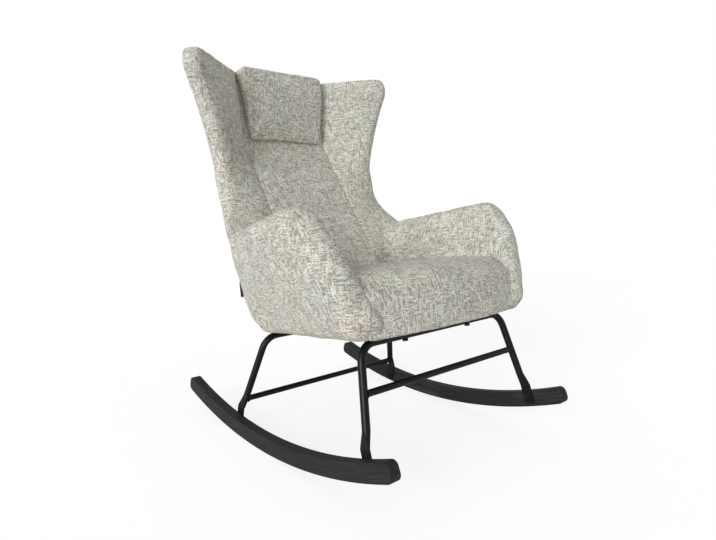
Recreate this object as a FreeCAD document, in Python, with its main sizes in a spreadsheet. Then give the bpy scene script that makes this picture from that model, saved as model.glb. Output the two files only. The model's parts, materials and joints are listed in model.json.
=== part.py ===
import FreeCAD, Part
import math
import os

import Sketcher
from FreeCAD import Placement, Rotation, Vector

# Upholstered wing rocking chair, in millimetres and degrees.
# The chair faces -Y and its left side is +X. Every piece is drawn in a level frame, with the seat
# rails level and the lowest point of the rocker arc at the origin. The finished chair then rolls
# back on its rockers by rest_lean, the angle at which its weight balances.

doc = FreeCAD.newDocument("rocking_chair")
sheet = doc.addObject("Spreadsheet::Sheet", "sizes")

driving_sizes = {
    "rest_lean": 9.6,
    "fit_gap": 0.3,
    "rocker_radius": 1398,
    "rocker_height": 43,
    "rocker_thickness": 29,
    "rocker_spread": 660,
    "rocker_front_angle": 14.3,
    "rocker_rear_angle": 24.9,
    "rocker_end_round": 15,
    "rocker_edge_round": 2.5,
    "tube_diameter": 19,
    "tube_wall": 1.2,
    "bend_radius": 45,
    "bar_height": 292,
    "front_bar_reach": 200,
    "front_bar_half_width": 253,
    "front_leg_rake": 9.2,
    "rear_bar_reach": 230,
    "rear_bar_half_width": 237,
    "rear_leg_rake": 21.9,
    "foot_thickness": 5,
    "foot_width": 28,
    "foot_blade": 40,
    "foot_flare": 34,
    "foot_end": 15,
    "foot_end_round": 12,
    "stretcher_diameter": 16,
    "stretcher_wall": 1.2,
    "front_stretcher_drop": 105,
    "rear_stretcher_drop": 187,
    "weld_bead": 3,
    "screw_diameter": 6,
    "screw_head_diameter": 11,
    "screw_head_height": 3.5,
    "screw_socket": 4,
    "screw_length": 18,
    "insert_diameter": 10,
    "insert_length": 15,
    "thread_gap": 0.1,
    "bolt_diameter": 8,
    "bolt_head_diameter": 14,
    "bolt_head_height": 5,
    "bolt_half_spacing": 115,
    "tee_nut_flange": 22,
    "tee_nut_flange_thickness": 1.5,
    "tee_nut_barrel": 10.5,
    "tee_nut_length": 12,
    "dust_cover_thickness": 1,
    "frame_height": 40,
    "frame_front_reach": 235,
    "frame_rear_reach": 285,
    "frame_rail": 70,
    "frame_opening_half_width": 120,
    "strap_thickness": 2,
    "strap_width": 50,
    "strap_pitch": 62,
    "strap_overlap": 30,
    "cross_strap_pitch": 110,
    "cushion_front_reach": 285,
    "cushion_bow_radius": 780,
    "cushion_top": 453,
    "cushion_front_round": 62,
    "front_band_height": 27,
    "arm_half_spread": 231,
    "arm_tilt": 19.3,
    "arm_toe": 7.4,
    "arm_thickness": 88,
    "arm_base_rise": 5,
    "arm_front_base": 264,
    "arm_front_top": 185,
    "arm_front_height": 325,
    "arm_front_radius": 625,
    "arm_rear_reach": 190,
    "arm_rear_height": 307,
    "arm_front_round": 55,
    "arm_corner_round": 48,
    "arm_edge_round": 40,
    "arm_board_thickness": 52,
    "arm_board_rail": 30,
    "arm_board_front_reach": 178,
    "arm_board_rise": 14,
    "arm_board_length": 340,
    "arm_board_height": 250,
    "arm_bolt_height": 24,
    "arm_bolt_front_reach": 120,
    "arm_bolt_rear_reach": 80,
    "back_half_width": 145,
    "back_foot_reach": 138,
    "back_lumbar_height": 620,
    "back_lumbar_reach": 245,
    "back_shoulder_height": 885,
    "back_shoulder_reach": 383,
    "back_top_height": 1080,
    "back_top_pad": 36,
    "outer_base_setback": 15,
    "outer_knee_height": 400,
    "outer_knee_depth": 28,
    "outer_waist_height": 500,
    "outer_waist_depth": 27,
    "outer_shoulder_depth": 38,
    "outer_top_depth": 20,
    "outer_top_round": 12,
    "board_thickness": 15,
    "board_foot_reach": 308,
    "board_cover": 12,
    "board_bottom": 400,
    "board_top_margin": 33,
    "board_half_width": 135,
    "cleat_top": 490,
    "cleat_base_depth": 56,
    "cleat_top_depth": 30,
    "cleat_half_width": 130,
    "cleat_screw_half_spacing": 70,
    "cleat_screw_reach": 262,
    "cleat_screw_length": 55,
    "back_screw_half_spacing": 110,
    "back_screw_margin": 20,
    "back_screw_pitch": 45,
    "back_screw_length": 35,
    "wing_edge_radius": 28,
    "wing_rise": 27,
    "wing_tip_drop": 30,
    "wing_tip_half_width": 340,
    "wing_tip_reach": 283,
    "wing_waist_height": 780,
    "wing_waist_half_width": 266,
    "wing_waist_reach": 320,
    "wing_root_height": 593,
    "wing_root_half_width": 302,
    "wing_flare_power": 1.5,
    "wing_base_taper": 12.9,
    "wing_corner_reach": 257,
    "wing_corner_step": 40,
    "wing_corner_bulge": 3,
    "wing_seam_radius": 10,
    "wing_lap": 22,
    "wing_lap_height": 70,
    "wing_base_round": 36,
    "wing_top_round": 16,
    "wing_board_thickness": 10,
    "wing_board_depth": 80,
    "wing_board_sweep": 40,
    "wing_board_inset": 15,
    "wing_board_drop": 280,
    "wing_board_height": 240,
    "headrest_drop": 192,
    "headrest_rise": 36,
    "headrest_half_width": 150,
    "headrest_taper": 5.5,
    "headrest_bottom_depth": 15,
    "headrest_front_depth": 31,
    "headrest_front_drop": 40,
    "headrest_brow_depth": 26,
    "headrest_rear_inset": 10,
    "headrest_edge_round": 12,
    "tab_width": 14,
    "tab_height": 42,
    "tab_thickness": 1.5,
    "tab_centre_height": 431,
    "tab_heading": 153,
}

for row, (name, number) in enumerate(driving_sizes.items(), start=1):
    sheet.set(f"A{row}", name)
    sheet.set(f"B{row}", str(number))
    sheet.setAlias(f"B{row}", name)
doc.recompute()

across = Vector(1, 0, 0)
deep = Vector(0, 1, 0)
up = Vector(0, 0, 1)
sides = {"left": 1, "right": -1}
parallel = 0.999    # least cosine between two directions that count as one
same_place = 0.01   # most distance between two points that count as one
nodes = {}


def size(name):
    return float(sheet.get(name))


def value(expression):
    result = sheet.evalExpression(expression)
    return float(getattr(result, "Value", result))


def at(x, y, z):
    return Placement(Vector(x, y, z), Rotation())


def bind(feature, **expressions):
    for prop, expression in expressions.items():
        feature.setExpression(prop, expression)
    return feature


def leaned(place):
    centre = Vector(0, 0, size("rocker_radius"))
    return Placement(Vector(), Rotation(across, -size("rest_lean")), centre) * place


def keep(label, feature, place=Placement()):
    feature.Label = label
    feature.Placement = leaned(place)
    nodes[label] = feature
    return feature


# Drawing helpers

def new_body(name):
    return doc.addObject("PartDesign::Body", name)


def new_sketch(body, name, role, offset=Placement()):
    sketch = body.newObject("Sketcher::SketchObject", name)
    plane = next(item for item in body.Origin.OriginFeatures if item.Role == role)
    sketch.AttachmentSupport = [(plane, "")]
    sketch.MapMode = "FlatFace"
    sketch.AttachmentOffset = offset
    return sketch


def pin_point(sketch, geometry, end, x, y):
    # ties one end of a line or arc to the sheet in both directions
    for kind, expression in (("DistanceX", x), ("DistanceY", y)):
        rule = Sketcher.Constraint(kind, -1, 1, geometry, end, value(expression))
        index = sketch.addConstraint(rule)
        sketch.setExpression(f"Constraints[{index}]", expression)


def polygon(sketch, corners):
    points = [Vector(value(x), value(y), 0) for x, y in corners]
    count = len(points)
    for index, start in enumerate(points):
        sketch.addGeometry(Part.LineSegment(start, points[(index + 1) % count]), False)
    for index, (x, y) in enumerate(corners):
        sketch.addConstraint(Sketcher.Constraint("Coincident", index, 2, (index + 1) % count, 1))
        pin_point(sketch, index, 1, x, y)


def circle(sketch, x, y, radius):
    centre = Vector(value(x), value(y), 0)
    index = sketch.addGeometry(Part.Circle(centre, up, value(radius)), False)
    rule = sketch.addConstraint(Sketcher.Constraint("Radius", index, value(radius)))
    sketch.setExpression(f"Constraints[{rule}]", radius)
    pin_point(sketch, index, 3, x, y)


def pad(body, name, sketch, length, symmetric=True):
    feature = body.newObject("PartDesign::Pad", name)
    feature.Profile = sketch
    feature.SideType = "Symmetric" if symmetric else "One side"
    bind(feature, Length=length)
    doc.recompute()
    return feature


def round_edges(body, name, base, radius, wanted):
    doc.recompute()
    chosen = [f"Edge{index}" for index, edge in enumerate(base.Shape.Edges, start=1) if wanted(edge)]
    feature = body.newObject("PartDesign::Fillet", name)
    feature.Base = (base, chosen)
    bind(feature, Radius=radius)
    doc.recompute()
    return feature


def runs_along(edge, axis):
    if not isinstance(edge.Curve, Part.Line):
        return False
    return abs(edge.tangentAt(edge.FirstParameter).dot(axis)) > parallel


def lies_across(edge, axis):
    # true for an edge whose ends and middle have one distance along the axis
    places = [edge.valueAt(edge.FirstParameter + part * (edge.LastParameter - edge.FirstParameter))
              for part in (0, 0.5, 1)]
    along = [place.dot(axis) for place in places]
    return max(along) - min(along) < same_place


def rod(name, radius, length, start, axis):
    feature = doc.addObject("Part::Cylinder", name)
    bind(feature, Radius=radius, Height=length)
    feature.Placement = Placement(start, Rotation(up, axis))
    return feature


def block(name, length, width, height, place):
    feature = doc.addObject("Part::Box", name)
    bind(feature, Length=length, Width=width, Height=height)
    feature.Placement = place
    return feature


def joined(name, features):
    feature = doc.addObject("Part::MultiFuse", name)
    feature.Shapes = features
    return feature


def grouped(name, features):
    feature = doc.addObject("Part::Compound", name)
    feature.Links = features
    return feature


def cut(name, base, tools):
    feature = doc.addObject("Part::Cut", name)
    feature.Base = base
    feature.Tool = tools[0] if len(tools) == 1 else joined(f"{name}_tools", tools)
    return feature


def socket_screw(name, start, axis, kind, length):
    # a round head with a hexagon socket; start is the seat of the head, axis points along the shaft
    radius = f"sizes.{kind}_diameter/2"
    head_height = size(f"{kind}_head_height")
    shaft = rod(f"{name}_shaft", radius, length, start, axis)
    head = rod(f"{name}_head", f"sizes.{kind}_head_diameter/2", f"sizes.{kind}_head_height",
               start - axis * head_height, axis)
    socket = doc.addObject("Part::Prism", f"{name}_socket")
    socket.Polygon = 6
    bind(socket, Circumradius=f"sizes.screw_socket*sizes.{kind}_diameter/sizes.screw_diameter/sqrt(3)",
         Height=f"sizes.{kind}_head_height/2")
    socket.Placement = Placement(start - axis * head_height, Rotation(up, axis))
    return cut(name, joined(f"{name}_blank", [head, shaft]), [socket])


# Levels of the seat, from the tube of the hoops upwards, as rules on the sheet

cover_rule = "(sizes.bar_height + sizes.tube_diameter/2 + sizes.fit_gap)"
frame_rule = f"({cover_rule} + sizes.dust_cover_thickness + sizes.fit_gap)"
frame_top_rule = f"({frame_rule} + sizes.frame_height)"
strap_rule = f"({frame_top_rule} + sizes.fit_gap)"
cross_strap_rule = f"({strap_rule} + sizes.strap_thickness + sizes.fit_gap)"
cushion_rule = f"({cross_strap_rule} + sizes.strap_thickness + sizes.fit_gap)"
band_top_rule = f"({frame_rule} + sizes.front_band_height)"

gap = size("fit_gap")
cover_level = value(cover_rule)
frame_level = value(frame_rule)
frame_top = value(frame_top_rule)
cushion_level = value(cushion_rule)
rocker_inner_face = size("rocker_spread") / 2 - size("rocker_thickness")


# The back board leans from its foot on the seat to just behind the shoulders

board_slope_rule = ("((sizes.back_shoulder_reach + sizes.board_cover - sizes.board_foot_reach)"
                    f"/(sizes.back_shoulder_height - {strap_rule}))")
board_lean = math.degrees(math.atan(value(board_slope_rule)))


def board_front_rule(height):
    # how far back the front face of the back board stands at a height
    return f"(sizes.board_foot_reach + ({height} - {strap_rule})*{board_slope_rule})"


def outer_rule(place):
    # depth of the outer back, from the board, at one of its named heights
    return f"({board_front_rule(outer_heights[place])} + sizes.outer_{place}_depth)"


outer_heights = {
    "knee": "sizes.outer_knee_height",
    "waist": "sizes.outer_waist_height",
    "shoulder": "sizes.back_shoulder_height",
    "top": "sizes.back_top_height",
}
outer_base_rule = "(sizes.frame_rear_reach + sizes.outer_base_setback)"
back_top_rule = f"({board_front_rule('sizes.back_top_height')} - sizes.back_top_pad)"
wing_top = value("sizes.back_top_height + sizes.wing_rise")
wing_tip = value("sizes.back_top_height - sizes.wing_tip_drop")
headrest_top_rule = "(sizes.back_top_height + sizes.headrest_rise)"
headrest_rear_rule = f"({outer_rule('top')} - sizes.headrest_rear_inset)"


class Hoop:
    # Sizes of one bent tube. Its own frame has the bar on X and its legs going down along -Z.

    def __init__(self, end, forward):
        self.end = end
        bar_y = -forward * size(f"{end}_bar_reach")
        rake = math.radians(size(f"{end}_leg_rake"))
        self.place = Placement(Vector(0, bar_y, size("bar_height")),
                               Rotation(across, -forward * size(f"{end}_leg_rake")))
        # the screw sits where the leg crosses the middle of the rocker
        middle_radius = size("rocker_radius") - size("rocker_height") / 2
        bar_below_centre = size("rocker_radius") - size("bar_height")
        half_sum = size(f"{end}_bar_reach") * math.sin(rake) + bar_below_centre * math.cos(rake)
        rest = size(f"{end}_bar_reach") ** 2 + bar_below_centre ** 2 - middle_radius ** 2
        self.screw_drop = math.sqrt(half_sum ** 2 - rest) - half_sum
        self.half_width = size(f"{end}_bar_half_width")
        self.blade_top = self.screw_drop - size("foot_blade")
        leg_touch = rocker_inner_face - size("tube_diameter") / 2
        self.splay = math.atan((leg_touch - self.half_width) / self.blade_top)
        self.leg_end = self.blade_top - size("foot_flare")
        self.blade_middle = rocker_inner_face - gap - size("foot_thickness") / 2

    def leg_x(self, drop):
        return self.half_width + drop * math.tan(self.splay)

    def leg_direction(self, side):
        return Vector(side * math.sin(self.splay), 0, -math.cos(self.splay))

    def screw_point(self, side, x):
        return self.place.multVec(Vector(side * x, 0, -self.screw_drop))


hoops = {"front": Hoop("front", 1), "rear": Hoop("rear", -1)}


# Rockers, their threaded inserts and screws

def rocker_blank(label, side):
    body = new_body(f"{label}_blank")
    section = new_sketch(body, f"{label}_section", "XZ_Plane")
    outer = f"{side}*sizes.rocker_spread/2"
    inner = f"{side}*(sizes.rocker_spread/2 - sizes.rocker_thickness)"
    low = "-sizes.rocker_radius"
    high = "sizes.rocker_height - sizes.rocker_radius"
    polygon(section, [(inner, low), (outer, low), (outer, high), (inner, high)])
    bend = body.newObject("PartDesign::Revolution", f"{label}_bend")
    bend.Profile = section
    bend.ReferenceAxis = (section, ["H_Axis"])
    bend.Type = "TwoAngles"
    bind(bend, Angle="sizes.rocker_rear_angle", Angle2="sizes.rocker_front_angle")
    ends = round_edges(body, f"{label}_ends", bend, "sizes.rocker_end_round",
                       lambda edge: runs_along(edge, across))
    round_edges(body, f"{label}_edges", ends, "sizes.rocker_edge_round",
                lambda edge: lies_across(edge, across))
    body.Placement = at(0, 0, size("rocker_radius"))
    return body


def make_rockers():
    screws = []
    inserts = []
    for name, side in sides.items():
        holes = []
        for end, hoop in hoops.items():
            outward = across * side
            mouth = hoop.screw_point(side, rocker_inner_face)
            hole = rod(f"{name}_{end}_insert_hole", "sizes.insert_diameter/2", "sizes.insert_length",
                       mouth, outward)
            bore = rod(f"{name}_{end}_insert_bore", "sizes.screw_diameter/2 + sizes.thread_gap",
                       "sizes.insert_length", mouth, outward)
            holes.append(hole)
            inserts.append(cut(f"{name}_{end}_insert", hole, [bore]))
            seat = hoop.screw_point(side, hoop.blade_middle - size("foot_thickness") / 2)
            screws.append(socket_screw(f"{name}_{end}_screw", seat, outward, "screw", "sizes.screw_length"))
        label = f"{name}_rocker"
        keep(label, cut(f"{label}_cut", rocker_blank(label, side), holes))
    keep("rocker_inserts", grouped("insert_group", inserts))
    keep("rocker_screws", grouped("screw_group", screws))


# Hoops: a bar under the seat and two raked legs whose ends are pressed flat

def hoop_path(body, hoop):
    path = new_sketch(body, f"{hoop.end}_path", "XZ_Plane")
    radius = size("bend_radius")
    setback = radius * math.tan((math.pi / 2 - hoop.splay) / 2)
    bar_end = Vector(hoop.half_width - setback, 0, 0)
    leg_start = Vector(hoop.half_width + setback * math.sin(hoop.splay), -setback * math.cos(hoop.splay), 0)
    leg_end = Vector(hoop.leg_x(hoop.leg_end), -hoop.leg_end, 0)
    centre = Vector(bar_end.x, -radius, 0)
    bend = Part.ArcOfCircle(Part.Circle(centre, up, radius), hoop.splay, math.pi / 2)
    bar = path.addGeometry(Part.LineSegment(Vector(), bar_end), False)
    arc = path.addGeometry(bend, False)
    leg = path.addGeometry(Part.LineSegment(leg_start, leg_end), False)
    path.addConstraint(Sketcher.Constraint("Coincident", bar, 1, -1, 1))
    path.addConstraint(Sketcher.Constraint("Horizontal", bar))
    path.addConstraint(Sketcher.Constraint("Tangent", bar, 2, arc, 2))
    path.addConstraint(Sketcher.Constraint("Tangent", arc, 1, leg, 1))
    rule = path.addConstraint(Sketcher.Constraint("Radius", arc, radius))
    path.setExpression(f"Constraints[{rule}]", "sizes.bend_radius")
    path.addConstraint(Sketcher.Constraint("DistanceX", -1, 1, leg, 2, leg_end.x))
    path.addConstraint(Sketcher.Constraint("DistanceY", -1, 1, leg, 2, leg_end.y))
    path.addConstraint(Sketcher.Constraint("DistanceX", -1, 1, bar, 2, bar_end.x))
    return path


def quarter_circle_section(sketch, radius):
    # four equal arcs, so that the round end of the tube meets the four sides of the blade
    for quarter in range(4):
        start = (quarter - 0.5) * math.pi / 2
        arc = Part.ArcOfCircle(Part.Circle(Vector(), up, radius), start, start + math.pi / 2)
        sketch.addGeometry(arc, False)
    for quarter in range(4):
        sketch.addConstraint(Sketcher.Constraint("Coincident", quarter, 2, (quarter + 1) % 4, 1))
        sketch.addConstraint(Sketcher.Constraint("Coincident", quarter, 3, -1, 1))
    rule = sketch.addConstraint(Sketcher.Constraint("Radius", 0, radius))
    sketch.setExpression(f"Constraints[{rule}]", "sizes.tube_diameter/2")


def hoop_body(hoop):
    end = hoop.end
    body = new_body(f"{end}_hoop_body")
    profile = new_sketch(body, f"{end}_profile", "YZ_Plane")
    circle(profile, "0", "0", "sizes.tube_diameter/2")
    circle(profile, "0", "0", "sizes.tube_diameter/2 - sizes.tube_wall")
    tube = body.newObject("PartDesign::AdditivePipe", f"{end}_tube")
    tube.Profile = profile
    tube.Spine = (hoop_path(body, hoop), [])
    doc.recompute()

    turn = Rotation(deep, -math.degrees(hoop.splay))
    leg_tip = Vector(hoop.leg_x(hoop.leg_end), 0, -hoop.leg_end)
    round_end = new_sketch(body, f"{end}_round_end", "XY_Plane", Placement(leg_tip, turn))
    quarter_circle_section(round_end, size("tube_diameter") / 2)
    blade_place = at(hoop.blade_middle, 0, -hoop.blade_top)
    half_x = "sizes.foot_thickness/2"
    half_y = "sizes.foot_width/2"
    corners = [(half_x, f"-{half_y}"), (half_x, half_y), (f"-{half_x}", half_y), (f"-{half_x}", f"-{half_y}")]
    blade_section = new_sketch(body, f"{end}_blade_section", "XY_Plane", blade_place)
    polygon(blade_section, corners)
    flare = body.newObject("PartDesign::AdditiveLoft", f"{end}_flare")
    flare.Profile = round_end
    flare.Sections = [blade_section]
    doc.recompute()

    blade_sketch = new_sketch(body, f"{end}_blade_sketch", "XY_Plane", blade_place)
    polygon(blade_sketch, corners)
    blade = pad(body, f"{end}_blade", blade_sketch, "sizes.foot_blade + sizes.foot_end", symmetric=False)
    blade.Reversed = True
    doc.recompute()
    lowest = -hoop.screw_drop - size("foot_end")
    round_edges(body, f"{end}_blade_end", blade, "sizes.foot_end_round",
                lambda edge: runs_along(edge, across) and abs(edge.CenterOfMass.z - lowest) < same_place)

    mirrored = body.newObject("PartDesign::Mirrored", f"{end}_mirrored")
    mirror_plane = next(item for item in body.Origin.OriginFeatures if item.Role == "YZ_Plane")
    mirrored.MirrorPlane = (mirror_plane, [""])
    mirrored.TransformMode = "Whole shape"
    body.Tip = mirrored
    doc.recompute()
    body.Placement = hoop.place
    return body


def bolt_points():
    for end, forward in (("front", 1), ("rear", -1)):
        for side in sides.values():
            yield end, Vector(side * size("bolt_half_spacing"), -forward * size(f"{end}_bar_reach"), 0)


def make_hoops():
    for end, hoop in hoops.items():
        holes = []
        for side_name, side in sides.items():
            mouth = hoop.screw_point(side, hoop.blade_middle - size("foot_thickness"))
            holes.append(rod(f"{end}_{side_name}_foot_hole", "sizes.screw_diameter/2 + sizes.fit_gap",
                             "2*sizes.foot_thickness", mouth, across * side))
        for index, (bolt_end, point) in enumerate(bolt_points()):
            if bolt_end == end:
                low = point + up * (size("bar_height") - size("tube_diameter"))
                holes.append(rod(f"{end}_bar_hole_{index}", "sizes.bolt_diameter/2 + sizes.fit_gap",
                                 "2*sizes.tube_diameter", low, up))
        keep(f"{end}_hoop", cut(f"{end}_hoop_cut", hoop_body(hoop), holes))


def make_stretchers():
    for end, hoop in hoops.items():
        drop = size(f"{end}_stretcher_drop")
        reach = hoop.leg_x(drop)
        length = f"{2 * reach}"
        start = Vector(-reach, 0, -drop)
        solid = rod(f"{end}_stretcher_solid", "sizes.stretcher_diameter/2", length, start, across)
        bore = rod(f"{end}_stretcher_bore", "sizes.stretcher_diameter/2 - sizes.stretcher_wall", length,
                   start, across)
        legs = []
        beads = []
        for side_name, side in sides.items():
            direction = hoop.leg_direction(side)
            middle = Vector(side * reach, 0, -drop)
            legs.append(rod(f"{end}_{side_name}_leg_space", "sizes.tube_diameter/2",
                            "4*sizes.stretcher_diameter", middle - direction * 2 * size("stretcher_diameter"),
                            direction))
            bead = doc.addObject("Part::Cone", f"{end}_{side_name}_bead")
            bind(bead, Radius1="sizes.stretcher_diameter/2 + sizes.weld_bead",
                 Radius2="sizes.stretcher_diameter/2", Height="2*sizes.weld_bead")
            inset = size("tube_diameter") / 2 - size("weld_bead")
            bead.Placement = Placement(middle - across * side * inset, Rotation(up, across * -side))
            beads.append(bead)
        keep(f"{end}_stretcher", cut(f"{end}_stretcher_cut", solid, [bore] + legs), hoop.place)
        bead_group = grouped(f"{end}_bead_group", beads)
        keep(f"{end}_stretcher_welds", cut(f"{end}_welds_cut", bead_group, [solid] + legs), hoop.place)


# Arms: flat padded panels, tilted outwards and toed in towards the back

def arm_place(side):
    tilt = Rotation(deep, side * size("arm_tilt"))
    toe = Rotation(up, side * size("arm_toe"))
    return Placement(Vector(side * size("arm_half_spread"), 0, frame_level), toe * tilt)


def arm_outline(sketch):
    front_base = ("-sizes.arm_front_base", "sizes.arm_base_rise")
    front_top = ("-sizes.arm_front_top", "sizes.arm_front_height")
    rear_top = ("sizes.arm_rear_reach", "sizes.arm_rear_height")
    rear_base = ("sizes.arm_rear_reach", "sizes.arm_base_rise")
    low, high, back_high, back_low = [Vector(value(x), value(y), 0)
                                      for x, y in (front_base, front_top, rear_top, rear_base)]
    chord = high - low
    radius = size("arm_front_radius")
    rearward = Vector(chord.y, -chord.x, 0).normalize()
    centre = low + chord * 0.5 + rearward * math.sqrt(radius ** 2 - (chord.Length / 2) ** 2)
    start = math.atan2(high.y - centre.y, high.x - centre.x)
    end = math.atan2(low.y - centre.y, low.x - centre.x) + 2 * math.pi
    front = sketch.addGeometry(Part.ArcOfCircle(Part.Circle(centre, up, radius), start, end), False)
    high_end, low_end = 1, 2
    top = sketch.addGeometry(Part.LineSegment(high, back_high), False)
    rear = sketch.addGeometry(Part.LineSegment(back_high, back_low), False)
    base = sketch.addGeometry(Part.LineSegment(back_low, low), False)
    sketch.addConstraint(Sketcher.Constraint("Coincident", front, high_end, top, 1))
    sketch.addConstraint(Sketcher.Constraint("Coincident", top, 2, rear, 1))
    sketch.addConstraint(Sketcher.Constraint("Coincident", rear, 2, base, 1))
    sketch.addConstraint(Sketcher.Constraint("Coincident", base, 2, front, low_end))
    rule = sketch.addConstraint(Sketcher.Constraint("Radius", front, radius))
    sketch.setExpression(f"Constraints[{rule}]", "sizes.arm_front_radius")
    pin_point(sketch, front, low_end, *front_base)
    pin_point(sketch, top, 1, *front_top)
    pin_point(sketch, rear, 1, *rear_top)
    pin_point(sketch, base, 1, *rear_base)


def arm_pad(name, side):
    body = new_body(f"{name}_arm_pad")
    outline = new_sketch(body, f"{name}_arm_outline", "YZ_Plane")
    arm_outline(outline)
    slab = pad(body, f"{name}_arm_slab", outline, "sizes.arm_thickness")
    half_height = size("arm_front_height") / 2
    nose = round_edges(body, f"{name}_arm_nose", slab, "sizes.arm_front_round",
                       lambda edge: runs_along(edge, across) and edge.CenterOfMass.y < 0
                       and edge.CenterOfMass.z > half_height)
    toe = round_edges(body, f"{name}_arm_toe", nose, "sizes.arm_corner_round",
                      lambda edge: runs_along(edge, across) and edge.CenterOfMass.y < 0
                      and edge.CenterOfMass.z < half_height)
    # the rear end stays square, where it meets the wing
    round_edges(body, f"{name}_arm_edges", toe, "sizes.arm_edge_round",
                lambda edge: lies_across(edge, across) and edge.CenterOfMass.y < size("arm_rear_reach") - gap)
    body.Placement = arm_place(side)
    return body


def arm_space(name, side):
    # the room that an arm takes beside the seat, used to trim what lies between the arms
    inner = size("arm_thickness") / 2 + gap
    start = -inner if side > 0 else inner - 2 * size("arm_half_spread")
    corner = at(start, -2 * size("arm_front_base"), -size("frame_height"))
    return block(f"{name}_arm_space", "2*sizes.arm_half_spread", "4*sizes.arm_front_base",
                 "2*sizes.arm_front_height", arm_place(side) * corner)


arm_spaces = [arm_space(name, side) for name, side in sides.items()]


def arm_room(name, side):
    # the room of the arm itself, open to the front and to the outside
    inner = size("arm_thickness") / 2 + gap
    start = -inner if side > 0 else inner - 2 * size("arm_thickness")
    corner = at(start, -2 * size("arm_front_base"), -size("frame_height"))
    return block(f"{name}_arm_room", "2*sizes.arm_thickness",
                 "2*sizes.arm_front_base + sizes.arm_rear_reach + sizes.fit_gap",
                 "sizes.arm_rear_height + sizes.frame_height", arm_place(side) * corner)


def arm_bolt_spots():
    # the head seats on the inner face of a side rail, the shaft ends in the middle of the arm board
    level = frame_level + size("arm_bolt_height")
    for name, side in sides.items():
        for end, y in (("front", -size("arm_bolt_front_reach")), ("rear", size("arm_bolt_rear_reach"))):
            seat = Vector(side * size("frame_opening_half_width"), y, level)
            normal = arm_place(side).Rotation.multVec(across)
            length = (arm_place(side).Base - seat).dot(normal) / normal.x
            yield f"{name}_{end}_arm_bolt", side, seat, abs(length)


def make_arms():
    bolts = []
    bolt_rooms = {"left": [], "right": []}
    threads = {"left": [], "right": []}
    for label, side, seat, length in arm_bolt_spots():
        name = label.split("_")[0]
        bolts.append(socket_screw(label, seat, across * side, "bolt", f"{length}"))
        bolt_rooms[name].append(rod(f"{label}_room", "sizes.bolt_diameter/2 + sizes.fit_gap", f"{length}",
                                    seat, across * side))
        threads[name].append(rod(f"{label}_thread", "sizes.bolt_diameter/2 + sizes.thread_gap",
                                 f"{length} + sizes.thread_gap", seat, across * side))
    keep("arm_bolts", grouped("arm_bolt_group", bolts))
    for name, side in sides.items():
        rail = size("arm_board_rail")
        half = size("arm_board_thickness") / 2
        corner = at(-half, -size("arm_board_front_reach"), size("arm_board_rise"))
        board = block(f"{name}_arm_board_block", "sizes.arm_board_thickness", "sizes.arm_board_length",
                      "sizes.arm_board_height", arm_place(side) * corner)
        bay = block(f"{name}_arm_bay", "2*sizes.arm_board_thickness",
                    "sizes.arm_board_length - 2*sizes.arm_board_rail",
                    "sizes.arm_board_height - 2*sizes.arm_board_rail",
                    arm_place(side) * corner * at(-half, rail, rail))
        keep(f"{name}_arm", cut(f"{name}_arm_cut", arm_pad(name, side), [board] + bolt_rooms[name]))
        keep(f"{name}_arm_board", cut(f"{name}_arm_board_cut", board, [bay] + threads[name]))
    return bolt_rooms["left"] + bolt_rooms["right"]


# Seat: dust cover, rail frame, webbing, cushion and the bolts that hold the hoops

def seat_holes(name, radius, start):
    return [rod(f"{name}_{index}", radius, "2*sizes.frame_height", point + up * start, up)
            for index, (end, point) in enumerate(bolt_points())]


def across_seat(name, front_rule, depth_rule, level, height_rule):
    # a slab between the arms, trimmed to their inner faces
    corner = at(-2 * size("arm_half_spread"), value(front_rule), level)
    slab = block(name, "4*sizes.arm_half_spread", depth_rule, height_rule, corner)
    return cut(f"{name}_trimmed", slab, arm_spaces)


def cleat_screw_seats():
    for side in sides.values():
        yield Vector(side * size("cleat_screw_half_spacing"), size("cleat_screw_reach"),
                     frame_level + size("screw_head_height") + gap)


def make_seat_frame(arm_bolt_rooms):
    depth = "sizes.frame_front_reach + sizes.frame_rear_reach"
    slab = across_seat("frame_slab", "-sizes.frame_front_reach", depth, frame_level, "sizes.frame_height")
    opening = block("frame_opening", "2*sizes.frame_opening_half_width", f"{depth} - 2*sizes.frame_rail",
                    "2*sizes.frame_height",
                    at(-size("frame_opening_half_width"), size("frame_rail") - size("frame_front_reach"),
                       frame_level - size("frame_height") / 2))
    holes = seat_holes("frame_hole", "sizes.tee_nut_barrel/2 + sizes.fit_gap", cover_level)
    for index, seat in enumerate(cleat_screw_seats()):
        holes.append(rod(f"cleat_screw_sink_{index}", "sizes.screw_head_diameter/2 + sizes.fit_gap",
                         "2*sizes.screw_head_height", seat - up * 2 * size("screw_head_height"), up))
        holes.append(rod(f"cleat_screw_hole_{index}", "sizes.screw_diameter/2 + sizes.fit_gap",
                         "sizes.frame_height", seat, up))
    keep("seat_frame", cut("frame_cut", slab, [opening] + holes + arm_bolt_rooms))
    cover = across_seat("cover_slab", "-sizes.frame_front_reach", depth, cover_level,
                        "sizes.dust_cover_thickness")
    cover_holes = seat_holes("cover_hole", "sizes.bolt_diameter/2 + sizes.fit_gap",
                             cover_level - size("frame_height"))
    keep("dust_cover", cut("cover_cut", cover, cover_holes))
    return [slab, cover]


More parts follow.
